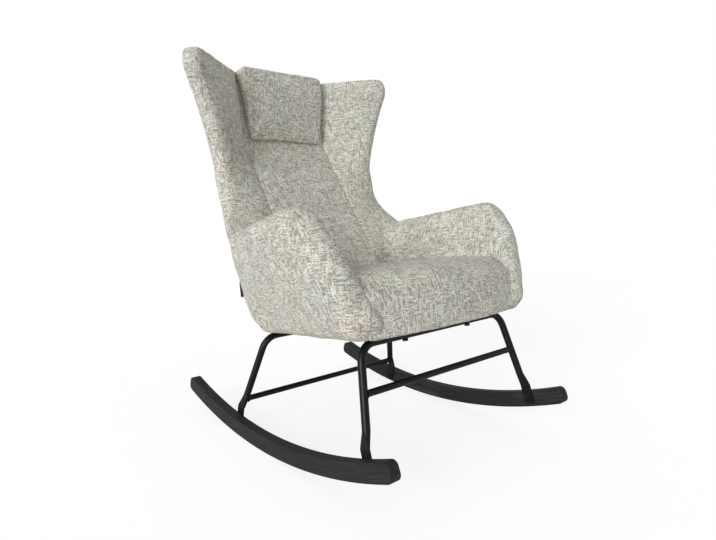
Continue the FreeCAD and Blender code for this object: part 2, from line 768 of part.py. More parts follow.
def make_seat_fixings():
    bolts = []
    nuts = []
    head_seat = size("bar_height") - size("tube_diameter") / 2
    length = f"{frame_top_rule} - sizes.bar_height + sizes.tube_diameter/2 + sizes.tee_nut_flange_thickness"
    for index, (end, point) in enumerate(bolt_points()):
        bolts.append(socket_screw(f"seat_bolt_{index}", point + up * head_seat, up, "bolt", length))
        flange = rod(f"tee_flange_{index}", "sizes.tee_nut_flange/2", "sizes.tee_nut_flange_thickness",
                     point + up * frame_top, up)
        barrel = rod(f"tee_barrel_{index}", "sizes.tee_nut_barrel/2", "sizes.tee_nut_length",
                     point + up * (frame_top - size("tee_nut_length")), up)
        thread = rod(f"tee_thread_{index}", "sizes.bolt_diameter/2 + sizes.thread_gap",
                     "2*sizes.frame_height", point + up * frame_level, up)
        nuts.append(cut(f"tee_nut_{index}", joined(f"tee_blank_{index}", [flange, barrel]), [thread]))
    keep("seat_bolts", grouped("seat_bolt_group", bolts))
    keep("tee_nuts", grouped("tee_nut_group", nuts))


def make_webbing():
    front = size("frame_rail") - size("frame_front_reach")
    rear = size("frame_rear_reach") - size("frame_rail")
    overlap = size("strap_overlap")
    half_strap = size("strap_width") / 2
    long_straps = []
    cross_straps = []
    for step in (-1, 0, 1):
        corner = at(step * size("strap_pitch") - half_strap, front - overlap, value(strap_rule))
        length = ("sizes.frame_front_reach + sizes.frame_rear_reach - 2*sizes.frame_rail"
                  " + 2*sizes.strap_overlap")
        long_straps.append(block(f"long_strap_{step + 1}", "sizes.strap_width", length,
                                 "sizes.strap_thickness", corner))
        middle = (front + rear) / 2 + step * size("cross_strap_pitch")
        corner = at(-size("frame_opening_half_width") - overlap, middle - half_strap, value(cross_strap_rule))
        length = "2*sizes.frame_opening_half_width + 2*sizes.strap_overlap"
        cross_straps.append(block(f"cross_strap_{step + 1}", length, "sizes.strap_width",
                                  "sizes.strap_thickness", corner))
    keep("webbing_lengthwise", grouped("long_strap_group", long_straps))
    keep("webbing_crosswise", grouped("cross_strap_group", cross_straps))


def side_profile(name, corners, length):
    # a body with an upright outline, corners given as depth and height, and an even width
    body = new_body(name)
    sketch = new_sketch(body, f"{name}_outline", "YZ_Plane")
    polygon(sketch, corners)
    return body, pad(body, f"{name}_pad", sketch, length)


def seat_slab(name, low_rule, high_rule):
    # a level slab with a bowed front, wider than the seat
    body = new_body(name)
    plan = new_sketch(body, f"{name}_plan", "XY_Plane", at(0, 0, value(low_rule)))
    rear = size("back_foot_reach")
    half = 2 * size("arm_half_spread")
    bow = size("cushion_bow_radius")
    centre_y = bow - size("cushion_front_reach")
    side_angle = math.acos(half / bow)
    front = Part.ArcOfCircle(Part.Circle(Vector(0, centre_y, 0), up, bow), math.pi + side_angle,
                             2 * math.pi - side_angle)
    corner_y = centre_y - bow * math.sin(side_angle)
    arc = plan.addGeometry(front, False)
    right = plan.addGeometry(Part.LineSegment(Vector(half, corner_y, 0), Vector(half, rear, 0)), False)
    back = plan.addGeometry(Part.LineSegment(Vector(half, rear, 0), Vector(-half, rear, 0)), False)
    left = plan.addGeometry(Part.LineSegment(Vector(-half, rear, 0), Vector(-half, corner_y, 0)), False)
    plan.addConstraint(Sketcher.Constraint("Coincident", arc, 2, right, 1))
    plan.addConstraint(Sketcher.Constraint("Coincident", right, 2, back, 1))
    plan.addConstraint(Sketcher.Constraint("Coincident", back, 2, left, 1))
    plan.addConstraint(Sketcher.Constraint("Coincident", left, 2, arc, 1))
    plan.addConstraint(Sketcher.Constraint("Vertical", right))
    plan.addConstraint(Sketcher.Constraint("Vertical", left))
    pin_point(plan, back, 1, "2*sizes.arm_half_spread", "sizes.back_foot_reach")
    pin_point(plan, back, 2, "-2*sizes.arm_half_spread", "sizes.back_foot_reach")
    pin_point(plan, arc, 3, "0", "sizes.cushion_bow_radius - sizes.cushion_front_reach")
    rule = plan.addConstraint(Sketcher.Constraint("Radius", arc, bow))
    plan.setExpression(f"Constraints[{rule}]", "sizes.cushion_bow_radius")
    return body, pad(body, f"{name}_pad", plan, f"{high_rule} - {low_rule}", symmetric=False)


def make_cushion():
    lip_rule = f"({band_top_rule} + sizes.fit_gap)"
    rail_front = -size("frame_front_reach") - gap
    corner = at(-4 * size("arm_half_spread"), rail_front, cover_level)
    rail_room = block("rail_room", "8*sizes.arm_half_spread", "4*sizes.frame_front_reach",
                      f"{cushion_rule} - {cover_rule}", corner)
    cushion, slab = seat_slab("cushion", lip_rule, "sizes.cushion_top")
    round_edges(cushion, "cushion_roll", slab, "sizes.cushion_front_round",
                lambda edge: isinstance(edge.Curve, Part.Circle) and edge.CenterOfMass.z > cushion_level)
    keep("seat_cushion", cut("cushion_cut", cushion, arm_spaces + [rail_room]))
    band, band_slab = seat_slab("band", frame_rule, band_top_rule)
    keep("front_band", cut("band_cut", band, arm_spaces + [rail_room]))


# Back: a board on a cleat, padded in front and behind

def make_back_board():
    turn = Rotation(across, -board_lean)
    foot_reach = value(board_front_rule("sizes.board_bottom"))
    foot = Vector(-size("board_half_width"), foot_reach, size("board_bottom"))
    rise = "(sizes.back_top_height - sizes.board_top_margin - sizes.board_bottom)"
    board = block("back_board_block", "2*sizes.board_half_width", "sizes.board_thickness",
                  f"{rise}/cos(atan({board_slope_rule}))", Placement(foot, turn))
    base = f"{board_front_rule(strap_rule)} - sizes.fit_gap"
    head = f"{board_front_rule('sizes.cleat_top')} - sizes.fit_gap"
    cleat, wedge = side_profile("cleat", [
        (f"{base} - sizes.cleat_base_depth", strap_rule), (base, strap_rule),
        (head, "sizes.cleat_top"), (f"{head} - sizes.cleat_top_depth", "sizes.cleat_top"),
    ], "2*sizes.cleat_half_width")
    into_cleat = turn.multVec(-deep)
    back_screws = []
    screw_rooms = []
    for side_name, side in sides.items():
        for row in (0, 1):
            name = f"{side_name}_back_screw_{row}"
            z = size("board_bottom") + size("back_screw_margin") + row * size("back_screw_pitch")
            rear = value(f"{board_front_rule(z)} + sizes.board_thickness/cos(atan({board_slope_rule}))")
            seat = Vector(side * size("back_screw_half_spacing"), rear, z)
            back_screws.append(socket_screw(name, seat, into_cleat, "screw", "sizes.back_screw_length"))
            screw_rooms.append(rod(f"{name}_room", "sizes.screw_diameter/2 + sizes.thread_gap",
                                   "sizes.back_screw_length + sizes.thread_gap", seat, into_cleat))
    cleat_screws = []
    threads = []
    for index, seat in enumerate(cleat_screw_seats()):
        cleat_screws.append(socket_screw(f"cleat_screw_{index}", seat, up, "screw",
                                         "sizes.cleat_screw_length"))
        threads.append(rod(f"cleat_screw_thread_{index}", "sizes.screw_diameter/2 + sizes.thread_gap",
                           "sizes.cleat_screw_length + sizes.thread_gap", seat, up))
    keep("back_screws", grouped("back_screw_group", back_screws))
    keep("cleat_screws", grouped("cleat_screw_group", cleat_screws))
    keep("back_board", cut("back_board_cut", board, screw_rooms))
    keep("back_cleat", cut("cleat_cut", cleat, screw_rooms + threads))
    return board, cleat, back_screws


def make_back_padding(board, cleat, back_screws):
    width = "2*sizes.back_half_width"
    foot = "sizes.back_foot_reach + sizes.fit_gap"
    top = "sizes.back_top_height"
    inner, inner_pad = side_profile("back_pad_blank", [
        (foot, cushion_rule), (foot, "sizes.cushion_top"),
        ("sizes.back_lumbar_reach", "sizes.back_lumbar_height"),
        ("sizes.back_shoulder_reach", "sizes.back_shoulder_height"),
        (back_top_rule, top), (f"{board_front_rule(top)} - sizes.fit_gap", top),
        (f"{board_front_rule(cushion_rule)} - sizes.fit_gap", cushion_rule),
    ], width)
    keep("back_pad", cut("back_pad_cut", inner, [cleat]))

    rail_rear = "sizes.frame_rear_reach + sizes.fit_gap"
    outer, outer_pad = side_profile("outer_back_blank", [
        (rail_rear, frame_rule), (outer_base_rule, frame_rule),
        *[(outer_rule(place), height) for place, height in outer_heights.items()],
        (board_front_rule(top), top),
        (board_front_rule(cushion_rule), cushion_rule), (rail_rear, cushion_rule),
    ], width)
    rear_line = value(outer_rule("top")) - gap
    round_edges(outer, "outer_back_top", outer_pad, "sizes.outer_top_round",
                lambda edge: runs_along(edge, across) and edge.CenterOfMass.y > rear_line)
    keep("outer_back", cut("outer_back_cut", outer, [board, cleat] + back_screws))


# Wings: level sections from the side of the back to a rounded front edge

def line_at(height, points):
    # straight runs through points of height and depth
    for (low, low_reach), (high, high_reach) in zip(points, points[1:]):
        if height <= high:
            return low_reach + (high_reach - low_reach) * (height - low) / (high - low)
    return points[-1][1]


def back_inner(height):
    return line_at(height, [(size("cushion_top"), size("back_foot_reach")),
                            (size("back_lumbar_height"), size("back_lumbar_reach")),
                            (size("back_shoulder_height"), size("back_shoulder_reach")),
                            (size("back_top_height"), value(back_top_rule))])


def back_outer(height):
    points = [(value(rule), value(outer_rule(place))) for place, rule in outer_heights.items()]
    return line_at(height, [(frame_level, value(outer_base_rule))] + points)


def arm_end(x):
    # depth of the plane behind the rear end of the left arm
    toe = math.radians(size("arm_toe"))
    return (size("arm_rear_reach") + (x - size("arm_half_spread")) * math.sin(toe)) / math.cos(toe) + gap


def arm_outer(height):
    # half width of the outer face of an arm at its rear end
    tilt = math.radians(size("arm_tilt"))
    up_panel = (height - frame_level) / math.cos(tilt) + size("arm_thickness") / 2 * math.tan(tilt)
    return arm_place(1).multVec(Vector(size("arm_thickness") / 2, size("arm_rear_reach"), up_panel)).x


def blend(start, end, part):
    return start + (end - start) * part


def wing_edge(height):
    # centre and radius of the rounded front edge
    waist = size("wing_waist_height")
    root = size("wing_root_height")
    radius = size("wing_edge_radius")
    seam_radius = size("wing_seam_radius")
    seam_half = arm_outer(min(height, root)) - seam_radius
    lap = size("wing_lap") * min(1, max(0, root - height) / size("wing_lap_height"))
    seam_reach = arm_end(seam_half) + seam_radius - lap
    if height <= root:
        return Vector(seam_half, seam_reach, height), seam_radius
    if height >= waist:
        part = ((height - waist) / (wing_tip - waist)) ** size("wing_flare_power")
        half = blend(size("wing_waist_half_width"), size("wing_tip_half_width"), part)
        return Vector(half, blend(size("wing_waist_reach"), size("wing_tip_reach"), part), height), radius
    part = ((waist - height) / (waist - root)) ** 2
    half = blend(size("wing_waist_half_width"), seam_half, part)
    reach = blend(size("wing_waist_reach"), seam_reach, part)
    return Vector(half, reach, height), blend(radius, seam_radius, part)


def flank_corner(height):
    # centre of the outer corner beside the seat, where the wing goes down behind the arm
    taper = (size("wing_root_height") - height) * math.tan(math.radians(size("wing_base_taper")))
    return Vector(size("wing_root_half_width") - taper, size("wing_corner_reach"), height)


def wing_corner(height, edge, outer_root):
    # centre of the outer corner behind the edge
    if height <= size("wing_root_height"):
        return flank_corner(height)
    backward = (outer_root - edge).normalize()
    outward = backward.cross(up)
    return edge + backward * size("wing_corner_step") + outward * size("wing_corner_bulge")


def tangent_point(point, centre, radius, turn):
    # where a line from the point grazes the circle, on the side that turn gives
    away = point - centre
    angle = turn * math.acos(radius / away.Length)
    return centre + Rotation(up, math.degrees(angle)).multVec(away.normalize()) * radius


def arc_between(start, end, centre, radius):
    middle = centre + ((start + end) * 0.5 - centre).normalize() * radius
    return Part.Arc(start, middle, end).toShape()


def wing_section(height, side_inset, front_inset):
    side_face = size("back_half_width") + gap
    inner = back_inner(height) if height > size("cushion_top") else arm_end(side_face)
    inner_root = Vector(side_face, inner + front_inset, height)
    outer_root = Vector(side_face, back_outer(height) - side_inset, height)
    edge, radius = wing_edge(min(height, wing_tip))
    edge = Vector(edge.x - side_inset, edge.y + front_inset, height)
    corner = wing_corner(height, edge, outer_root)
    if height < size("wing_root_height"):
        corner = corner - Vector(side_inset, side_inset, 0)
    outward = (corner - edge).normalize().cross(up)
    outer_touch = tangent_point(outer_root, corner, radius, -1)
    inner_touch = tangent_point(inner_root, edge, radius, 1)
    corner_end = corner + outward * radius
    edge_start = edge + outward * radius
    return Part.Wire([
        Part.makeLine(inner_root, outer_root),
        Part.makeLine(outer_root, outer_touch),
        arc_between(outer_touch, corner_end, corner, radius),
        Part.makeLine(corner_end, edge_start),
        arc_between(edge_start, inner_touch, edge, radius),
        Part.makeLine(inner_touch, inner_root),
    ])


def wing_solid(side):
    base_round = size("wing_base_round")
    top_round = size("wing_top_round")
    root = size("wing_root_height")
    waist = size("wing_waist_height")
    sections = [wing_section(frame_level, base_round, 0),
                wing_section(frame_level + base_round, base_round / 4, 0)]
    for height in (size("outer_knee_height"), size("outer_waist_height"), root, (root + waist) / 2, waist,
                   (2 * waist + wing_tip) / 3, (waist + 2 * wing_tip) / 3, wing_tip):
        sections.append(wing_section(height, 0, 0))
    sections.append(wing_section(wing_top - top_round / 2, top_round / 4, top_round / 4))
    sections.append(wing_section(wing_top, top_round, top_round))
    solid = Part.makeLoft(sections, True, False, False, 3)
    if side < 0:
        solid = solid.mirror(Vector(), across)
    return solid


def make_wings(seat_base):
    thickness = size("wing_board_thickness")
    board_foot = value("sizes.back_top_height - sizes.wing_board_drop")
    paddings = {}
    for name, side in sides.items():
        padding = doc.addObject("Part::Feature", f"{name}_wing_pad")
        padding.Shape = wing_solid(side)
        paddings[name] = padding
        heading = -size("wing_board_sweep") if side > 0 else 180 + size("wing_board_sweep")
        foot = Vector(side * (size("back_half_width") + gap),
                      back_inner(board_foot + size("wing_board_height")) + size("wing_board_inset"),
                      board_foot)
        board = block(f"{name}_wing_board_block", "sizes.wing_board_depth", "sizes.wing_board_thickness",
                      "sizes.wing_board_height",
                      Placement(foot, Rotation(up, heading)) * at(thickness, -thickness / 2, 0))
        keep(f"{name}_wing", cut(f"{name}_wing_cut", padding, [board, arm_room(name, side)] + seat_base))
        keep(f"{name}_wing_board", grouped(f"{name}_wing_board_node", [board]))
    return paddings


def make_headrest(wings):
    bottom = "sizes.back_top_height - sizes.headrest_drop"
    body, slab = side_profile("headrest", [
        ("sizes.back_shoulder_reach - sizes.fit_gap", bottom),
        ("sizes.back_shoulder_reach - sizes.headrest_bottom_depth", bottom),
        ("sizes.back_shoulder_reach - sizes.headrest_front_depth",
         "sizes.back_top_height - sizes.headrest_front_drop"),
        ("sizes.back_shoulder_reach - sizes.headrest_brow_depth", headrest_top_rule),
        (headrest_rear_rule, headrest_top_rule),
        (headrest_rear_rule, "sizes.back_top_height + sizes.fit_gap"),
        (f"{back_top_rule} - sizes.fit_gap", "sizes.back_top_height + sizes.fit_gap"),
    ], "4*sizes.headrest_half_width")
    top = value(headrest_top_rule)
    front_line = value("sizes.back_shoulder_reach - sizes.headrest_bottom_depth") + gap
    round_edges(body, "headrest_edges", slab, "sizes.headrest_edge_round",
                lambda edge: runs_along(edge, across)
                and (edge.CenterOfMass.z > top - gap or edge.CenterOfMass.y < front_line))
    trims = list(wings.values())
    for name, side in sides.items():
        start = 0 if side > 0 else -2 * size("headrest_half_width")
        foot = Vector(side * size("headrest_half_width"), 0, top)
        place = Placement(foot, Rotation(deep, side * size("headrest_taper")))
        trims.append(block(f"{name}_headrest_trim", "2*sizes.headrest_half_width", f"2*{headrest_rear_rule}",
                           f"2*{headrest_top_rule}", place * at(start, 0, -top)))
    keep("headrest_pad", cut("headrest_cut", body, trims))


def make_label_tab(wing):
    # sewn into the seam at the outer corner of the right wing
    corner = flank_corner(size("tab_centre_height"))
    heading = Rotation(up, size("tab_heading"))
    foot = Vector(-corner.x, corner.y, corner.z - size("tab_height") / 2)
    place = Placement(foot, heading) * at(0, -size("tab_thickness") / 2, 0)
    tab = block("tab_block", "sizes.wing_seam_radius + sizes.tab_width", "sizes.tab_thickness",
                "sizes.tab_height", place)
    keep("label_tab", cut("tab_cut", tab, [wing]))


def finish():
    doc.recompute()
    failed = [item.Name for item in doc.Objects if {"Invalid", "Error"} & set(item.State)]
    if failed:
        raise RuntimeError(f"failed objects: {failed}")
    for label, feature in nodes.items():
        if feature.Shape.isNull() or not feature.Shape.isValid():
            raise RuntimeError(f"bad shape: {label}")
    box = FreeCAD.BoundBox()
    for feature in nodes.values():
        box.add(feature.Shape.optimalBoundingBox(False))
    to_middle = Placement(Vector(0, -box.Center.y, 0), Rotation())
    os.makedirs("parts", exist_ok=True)
    for label, feature in nodes.items():
        feature.Placement = to_middle * feature.Placement
        feature.Shape.exportStep(f"parts/{label}.step")
        print(label, len(feature.Shape.Solids), round(feature.Shape.Volume / 1000, 1))


make_rockers()
make_hoops()
make_stretchers()
seat_base = make_seat_frame(make_arms())
make_seat_fixings()
make_webbing()
make_cushion()
make_back_padding(*make_back_board())
wings = make_wings(seat_base)
make_headrest(wings)
make_label_tab(wings["right"])
finish()
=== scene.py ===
import json
import math

import bmesh
import bpy
from mathutils import Matrix, Vector


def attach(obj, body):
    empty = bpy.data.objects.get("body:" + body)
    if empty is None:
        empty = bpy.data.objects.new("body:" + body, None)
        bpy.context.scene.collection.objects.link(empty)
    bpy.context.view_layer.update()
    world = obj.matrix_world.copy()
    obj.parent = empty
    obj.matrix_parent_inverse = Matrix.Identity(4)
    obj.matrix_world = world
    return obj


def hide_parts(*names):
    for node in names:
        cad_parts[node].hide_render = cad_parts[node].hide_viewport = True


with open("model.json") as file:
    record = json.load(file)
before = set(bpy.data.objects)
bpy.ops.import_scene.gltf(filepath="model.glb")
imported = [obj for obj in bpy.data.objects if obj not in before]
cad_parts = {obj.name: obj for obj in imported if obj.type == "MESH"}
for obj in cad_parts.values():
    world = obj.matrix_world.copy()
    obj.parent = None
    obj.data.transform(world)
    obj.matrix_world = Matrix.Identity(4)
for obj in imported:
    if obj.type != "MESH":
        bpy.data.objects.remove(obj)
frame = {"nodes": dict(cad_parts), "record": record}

scene = bpy.context.scene
cadNodes = frame["nodes"]
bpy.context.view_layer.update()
print("frame loaded")

# The chair leans back on its rockers. Level places are those of the chair stood upright.
posture = {"lean": math.radians(9.6), "rockerRadius": 1.398, "contactY": 0.08749}
turnBack = Matrix.Rotation(-posture["lean"], 4, "X")
arcCentre = Vector((0, posture["contactY"], posture["rockerRadius"]))
toRest = Matrix.Translation(arcCentre) @ turnBack @ Matrix.Translation((0, 0, -posture["rockerRadius"]))
toLevel = toRest.inverted()
acrossWay = Vector((1, 0, 0))
deepWay = turnBack @ Vector((0, 1, 0))
upWay = turnBack @ Vector((0, 0, 1))


class Wire:
    # one socket of a shader tree, which can be used in sums

    def __init__(self, tree, socket):
        self.tree = tree
        self.socket = socket

    def node(self, kind, settings, sockets, out=0):
        made = self.tree.nodes.new(kind)
        for name, choice in settings.items():
            setattr(made, name, choice)
        for key, worth in sockets.items():
            if isinstance(worth, Wire):
                self.tree.links.new(worth.socket, made.inputs[key])
            else:
                made.inputs[key].default_value = worth
        return Wire(self.tree, made.outputs[out])

    def sum(self, operation, *terms):
        return self.node("ShaderNodeMath", {"operation": operation}, dict(enumerate(terms)))

    def __add__(self, other):
        return self.sum("ADD", self, other)

    def __radd__(self, other):
        return self.sum("ADD", other, self)

    def __sub__(self, other):
        return self.sum("SUBTRACT", self, other)

    def __rsub__(self, other):
        return self.sum("SUBTRACT", other, self)

    def __mul__(self, other):
        return self.sum("MULTIPLY", self, other)

    def __rmul__(self, other):
        return self.sum("MULTIPLY", other, self)

    def __pow__(self, other):
        return self.sum("POWER", self, other)


def along(place, direction):
    return place.node("ShaderNodeVectorMath", {"operation": "DOT_PRODUCT"},
                      {0: place, 1: direction}, "Value")


def packed(first, second, third=0.0):
    return first.node("ShaderNodeCombineXYZ", {}, {0: first, 1: second, 2: third})


def noise(place, scale, detail=2.0, rough=0.5):
    return place.node("ShaderNodeTexNoise", {}, {"Vector": place, "Scale": scale, "Detail": detail,
                                                 "Roughness": rough})


def between(value, low, high):
    # 0 below low, 1 above high, smooth between
    return value.node("ShaderNodeMapRange", {"interpolation_type": "SMOOTHSTEP"},
                      {"Value": value, "From Min": low, "From Max": high})


def blended(share, first, second):
    colours = {key: colour if isinstance(colour, Wire) else (*colour, 1)
               for key, colour in ((6, first), (7, second))}
    return share.node("ShaderNodeMix", {"data_type": "RGBA"}, {0: share, **colours}, 2)


def newMaterial(name):
    material = bpy.data.materials.new(name)
    material.use_nodes = True
    tree = material.node_tree
    shader = tree.nodes["Principled BSDF"]
    coordinates = tree.nodes.new("ShaderNodeTexCoord")
    return material, shader, Wire(tree, coordinates.outputs["Object"])


def feed(shader, name, wire):
    wire.tree.links.new(wire.socket, shader.inputs[name])


def bump(shader, height, distance, strength):
    feed(shader, "Normal", height.node("ShaderNodeBump", {}, {"Height": height, "Distance": distance,
                                                               "Strength": strength}))


def threads(line, run, yarn):
    # each thread carries its own light and dark stretches
    number = line.sum("FLOOR", line * yarn["pitch"])
    return noise(packed(run * yarn["length"], number * 3.7, number * 1.3), 1.0, 2.0, 0.55)


def speckled(cloth, pattern, speckle, yarn):
    # dark where the pattern is high, light where it is low
    cloth = blended(between(pattern, *speckle["spread"]) * speckle["dark"], cloth, yarn["dark"])
    return blended(between(1.0 - pattern, *speckle["spread"]) * speckle["light"], cloth, yarn["light"])


def makeUpholstery():
    yarn = {
        "base": (0.545, 0.532, 0.447), "cool": (0.515, 0.525, 0.457), "warm": (0.575, 0.52, 0.415),
        "green": (0.525, 0.535, 0.435), "dark": (0.17, 0.16, 0.14), "light": (0.95, 0.935, 0.87),
        "pitch": 470.0, "length": 55.0, "wobble": 0.002,
        "shadeSpeckle": {"spread": (0.5, 0.8), "dark": 0.3, "light": 0.3},
        "threadSpeckle": {"spread": (0.46, 0.6), "dark": 0.62, "light": 0.52},
        "fuzzSpeckle": {"spread": (0.5, 0.66), "dark": 0.52, "light": 0.44},
    }
    material, shader, place = newMaterial("tweed")
    facing = place.node("ShaderNodeAttribute", {"attribute_name": "facing"}, {}, "Color")
    wander = noise(place, 20.0) * yarn["wobble"]
    across = along(place, acrossWay) + wander
    deep = along(place, deepWay) + wander
    up = along(place, upWay) + wander
    # in some places the cross threads lie on top, in others the long ones
    over = between(noise(place, 30.0, 2.0), 0.25, 0.75)
    weave = 0.0
    for axis, weft, warp in (((1, 0, 0), deep, up), ((0, 1, 0), across, up), ((0, 0, 1), across, deep)):
        crossed = threads(warp, weft, yarn) * over + threads(weft, warp, yarn) * (1.0 - over)
        weave = crossed * along(facing, axis) + weave
    fuzz = noise(place, 360.0, 2.0, 0.65)
    # broad patches where one dye shows more than another
    warmPatch = between(noise(packed(across, up * 1.5, deep), 7.0, 1.0), 0.46, 0.66)
    coolPatch = between(noise(packed(up, across * 1.5, deep), 8.0, 1.0), 0.48, 0.66)
    greenPatch = between(noise(packed(deep, up, across), 11.0, 1.0), 0.52, 0.68)
    cloth = blended(warmPatch, yarn["base"], yarn["warm"])
    cloth = blended(coolPatch, cloth, yarn["cool"])
    cloth = blended(greenPatch, cloth, yarn["green"])
    shade = noise(packed(across, up, deep * 1.3), 16.0, 2.0)
    cloth = speckled(cloth, shade, yarn["shadeSpeckle"], yarn)
    cloth = speckled(cloth, weave, yarn["threadSpeckle"], yarn)
    cloth = speckled(cloth, fuzz, yarn["fuzzSpeckle"], yarn)
    feed(shader, "Base Color", cloth)
    bump(shader, weave + fuzz * 0.6, 0.0022, 0.5)
    shader.inputs["Roughness"].default_value = 0.92
    shader.inputs["Specular IOR Level"].default_value = 0.2
    shader.inputs["Sheen Weight"].default_value = 0.12
    return material


def makeStainedWood():
    stain = {"dark": (0.013, 0.0128, 0.0125), "streak": (0.030, 0.029, 0.028), "worn": (0.055, 0.053, 0.05)}
    material, shader, place = newMaterial("stainedWood")
    fromCentre = place.node("ShaderNodeVectorMath", {"operation": "SUBTRACT"}, {0: place, 1: arcCentre})
    deep = along(fromCentre, (0, 1, 0))
    high = along(fromCentre, (0, 0, -1))
    radius = (deep * deep + high * high) ** 0.5
    run = deep.sum("ARCTAN2", deep, high) * posture["rockerRadius"]
    # the grain follows the bend of the rocker
    grain = noise(packed(radius * 420.0, run * 9.0, along(place, (1, 0, 0)) * 420.0), 1.0, 4.0, 0.6)
    cloud = noise(packed(radius * 30.0, run * 5.0, along(place, (1, 0, 0)) * 30.0), 1.0, 2.0)
    wood = blended(between(grain, 0.42, 0.68), stain["dark"], stain["streak"])
    wood = blended(between(cloud, 0.56, 0.78) * 0.6, wood, stain["worn"])
    feed(shader, "Base Color", wood)
    feed(shader, "Roughness", 0.5 + grain * 0.2)
    bump(shader, grain, 0.0006, 0.5)
    shader.inputs["Specular IOR Level"].default_value = 0.3
    return material


def makeBlackSteel():
    material, shader, place = newMaterial("blackSteel")
    peel = noise(place, 900.0, 2.0)
    dull = noise(place, 22.0, 3.0)
    feed(shader, "Base Color", blended(between(dull, 0.35, 0.7), (0.003, 0.003, 0.0032),
                                       (0.006, 0.006, 0.0063)))
    feed(shader, "Roughness", 0.30 + dull * 0.2)
    bump(shader, peel, 0.0003, 0.35)
    shader.inputs["Specular IOR Level"].default_value = 0.28
    return material


def makeZincSteel():
    material, shader, place = newMaterial("zincSteel")
    mottle = noise(place, 500.0, 3.0)
    feed(shader, "Base Color", blended(mottle, (0.42, 0.42, 0.44), (0.66, 0.66, 0.68)))
    feed(shader, "Roughness", 0.28 + mottle * 0.22)
    shader.inputs["Metallic"].default_value = 1.0
    return material


def makeInnerWood():
    material, shader, place = newMaterial("innerWood")
    grain = noise(packed(along(place, acrossWay) * 16.0, along(place, deepWay) * 220.0,
                         along(place, upWay) * 60.0), 1.0, 4.0, 0.6)
    feed(shader, "Base Color", blended(between(grain, 0.35, 0.65), (0.52, 0.36, 0.20), (0.68, 0.52, 0.33)))
    feed(shader, "Roughness", 0.6 + grain * 0.2)
    bump(shader, grain, 0.0006, 0.4)
    return material


def makeWovenCloth(name, dark, pale, pitch):
    # a plain weave, used for the cloth under the seat, the straps and the tab
    material, shader, place = newMaterial(name)
    wave = {"wave_type": "BANDS", "bands_direction": "X"}
    warp = place.node("ShaderNodeTexWave", wave, {"Vector": place, "Scale": pitch, "Distortion": 0.6}, 1)
    weft = place.node("ShaderNodeTexWave", {**wave, "bands_direction": "Y"},
                      {"Vector": place, "Scale": pitch, "Distortion": 0.6}, 1)
    weave = warp * weft
    fluff = noise(place, 160.0, 3.0)
    feed(shader, "Base Color", blended(weave * 0.6 + fluff * 0.4, dark, pale))
    bump(shader, weave + fluff * 0.5, 0.0006, 0.4)
    shader.inputs["Roughness"].default_value = 0.9
    return material


def newPiece(name, shape):
    mesh = bpy.data.meshes.new(name)
    shape.to_mesh(mesh)
    shape.free()
    piece = bpy.data.objects.new(name, mesh)
    scene.collection.objects.link(piece)
    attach(piece, "root")
    return piece


def bake(piece):
    graph = bpy.context.evaluated_depsgraph_get()
    mesh = bpy.data.meshes.new_from_object(piece.evaluated_get(graph))
    piece.modifiers.clear()
    piece.data = mesh
    mesh.name = piece.name


def looseCopy(name, nodeNames, widen=0.0):
    shape = bmesh.new()
    for nodeName in nodeNames:
        shape.from_mesh(cadNodes[nodeName].data)
    bmesh.ops.remove_doubles(shape, verts=shape.verts, dist=0.00002)
    half = max(vertex.co.x for vertex in shape.verts)
    bmesh.ops.scale(shape, vec=(1 + widen / half, 1, 1), verts=shape.verts)
    return newPiece(name, shape)


def addModifier(piece, kind, **settings):
    modifier = piece.modifiers.new(kind.lower(), kind)
    for name, choice in settings.items():
        setattr(modifier, name, choice)
    return modifier


def soften(piece, plan):
    # even quads, with narrow gaps between joined solids closed by a swell that is taken back
    addModifier(piece, "REMESH", mode="VOXEL", voxel_size=plan["voxel"])
    if plan["closing"]:
        addModifier(piece, "DISPLACE", strength=plan["closing"], mid_level=0.0)
        addModifier(piece, "REMESH", mode="VOXEL", voxel_size=plan["voxel"])
        addModifier(piece, "SMOOTH", factor=0.5, iterations=3)
        addModifier(piece, "DISPLACE", strength=-plan["closing"], mid_level=0.0)
    bake(piece)
    block = piece.data.copy()
    addModifier(piece, "SMOOTH", factor=0.5, iterations=plan["smoothing"])
    bake(piece)
    return block


def hug(piece, block):
    # the cover never sinks below the padding it is pulled over
    stuffing = bpy.data.objects.new("stuffing", block)
    scene.collection.objects.link(stuffing)
    addModifier(piece, "SHRINKWRAP", target=stuffing, wrap_method="NEAREST_SURFACEPOINT",
                wrap_mode="OUTSIDE")
    addModifier(piece, "SMOOTH", factor=0.5, iterations=2)
    bake(piece)
    bpy.data.objects.remove(stuffing)


